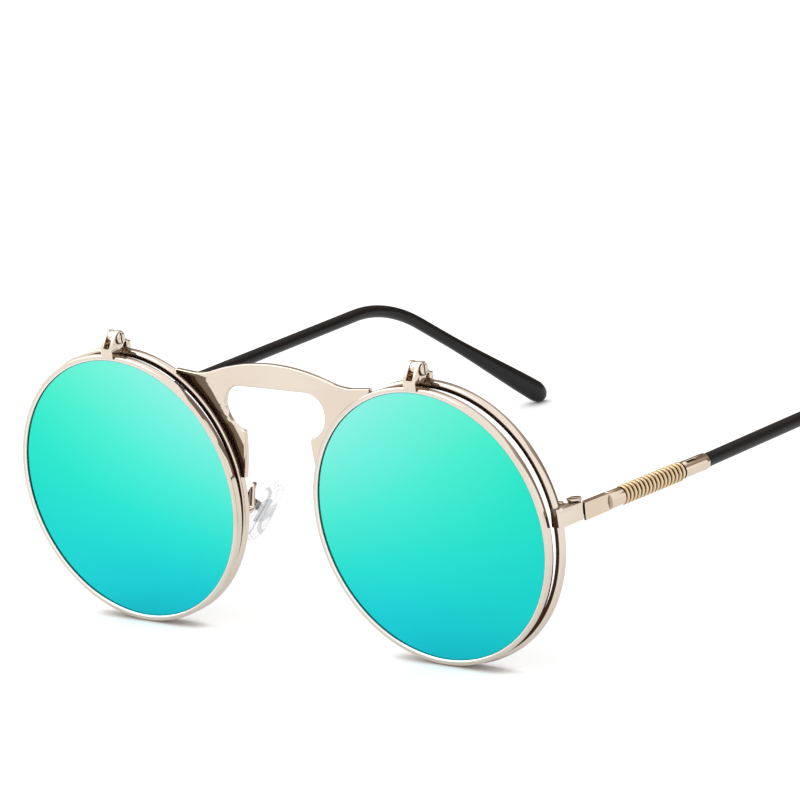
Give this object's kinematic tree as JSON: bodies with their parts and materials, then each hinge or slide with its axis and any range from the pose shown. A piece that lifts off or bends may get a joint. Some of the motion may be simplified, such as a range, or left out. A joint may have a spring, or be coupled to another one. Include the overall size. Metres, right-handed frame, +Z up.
{
  "type": "flip up sunglasses",
  "caption": "Round metal flip up sunglasses: a keyhole bridge joins clear lenses, mirrored lenses hinge up in front, and temples with wound springs fold in.",
  "frame": {"origin": "bottom centre of the box around the glasses as they stand on a table on both rims and both temple tips", "axes": "+X to the wearer's left, +Y back along the temples, +Z up"},
  "size_m": [0.1326, 0.158, 0.0543],
  "materials": {
    "champagne_metal": "polished champagne plated metal",
    "gold_spring": "polished gold plated spring wire",
    "mirror_lens": "turquoise mirror coated lens",
    "clear_lens": "clear lens",
    "silicone_pad": "clear soft silicone",
    "pad_insert": "clear hard plastic",
    "black_tip": "satin black"
  },
  "bodies": {
    "frame_front": {"bridge": "champagne_metal", "left_end_piece": "champagne_metal", "left_flip_lug": "champagne_metal", "left_pad_arm": "champagne_metal", "left_pad_box": "champagne_metal", "left_pad_screw": "champagne_metal", "left_rear_lens": "clear_lens", "left_rim": "champagne_metal", "left_rim_lock_lower": "champagne_metal", "left_rim_lock_screw": "champagne_metal", "left_rim_lock_upper": "champagne_metal", "left_temple_hinge_screw": "champagne_metal", "right_end_piece": "champagne_metal", "right_flip_lug": "champagne_metal", "right_pad_arm": "champagne_metal", "right_pad_box": "champagne_metal", "right_pad_screw": "champagne_metal", "right_rear_lens": "clear_lens", "right_rim": "champagne_metal", "right_rim_lock_lower": "champagne_metal", "right_rim_lock_screw": "champagne_metal", "right_rim_lock_upper": "champagne_metal", "right_temple_hinge_screw": "champagne_metal"},
    "left_flip": {"left_flip_ring": "champagne_metal", "left_flip_screw": "champagne_metal", "left_flip_yoke": "champagne_metal", "left_mirror_lens": "mirror_lens"},
    "right_flip": {"right_flip_ring": "champagne_metal", "right_flip_screw": "champagne_metal", "right_flip_yoke": "champagne_metal", "right_mirror_lens": "mirror_lens"},
    "left_temple": {"left_core_wire": "gold_spring", "left_ferrule": "champagne_metal", "left_temple_bar": "champagne_metal", "left_temple_spring": "gold_spring", "left_temple_tip": "black_tip"},
    "right_temple": {"right_core_wire": "gold_spring", "right_ferrule": "champagne_metal", "right_temple_bar": "champagne_metal", "right_temple_spring": "gold_spring", "right_temple_tip": "black_tip"},
    "left_pad": {"left_nose_pad": "silicone_pad", "left_pad_insert": "pad_insert"},
    "right_pad": {"right_nose_pad": "silicone_pad", "right_pad_insert": "pad_insert"}
  },
  "joints": [
    {"name": "left_flip_hinge", "type": "hinge", "parent": "frame_front", "child": "left_flip", "pos_m": [0.03385, -0.07636, 0.05291], "axis": [-1, 0, 0], "range_deg": [0, 100]},
    {"name": "left_temple_fold", "type": "hinge", "parent": "frame_front", "child": "left_temple", "pos_m": [0.0596, -0.0695, 0.02872], "axis": [-0.0349, -0.0321, 0.9989], "range_deg": [0, 87]},
    {"name": "left_pad_rock", "type": "hinge", "parent": "frame_front", "child": "left_pad", "pos_m": [0.0123, -0.06796, 0.02205], "axis": [-0.2351, -0.9488, 0.211], "range_deg": [-8, 8]},
    {"name": "right_flip_hinge", "type": "hinge", "parent": "frame_front", "child": "right_flip", "pos_m": [-0.03385, -0.07636, 0.05291], "axis": [-1, 0, 0], "range_deg": [0, 100]},
    {"name": "right_temple_fold", "type": "hinge", "parent": "frame_front", "child": "right_temple", "pos_m": [-0.0596, -0.0695, 0.02872], "axis": [-0.0349, 0.0321, -0.9989], "range_deg": [0, 79]},
    {"name": "right_pad_rock", "type": "hinge", "parent": "frame_front", "child": "right_pad", "pos_m": [-0.0123, -0.06796, 0.02205], "axis": [-0.2351, 0.9488, -0.211], "range_deg": [-8, 8]}
  ]
}
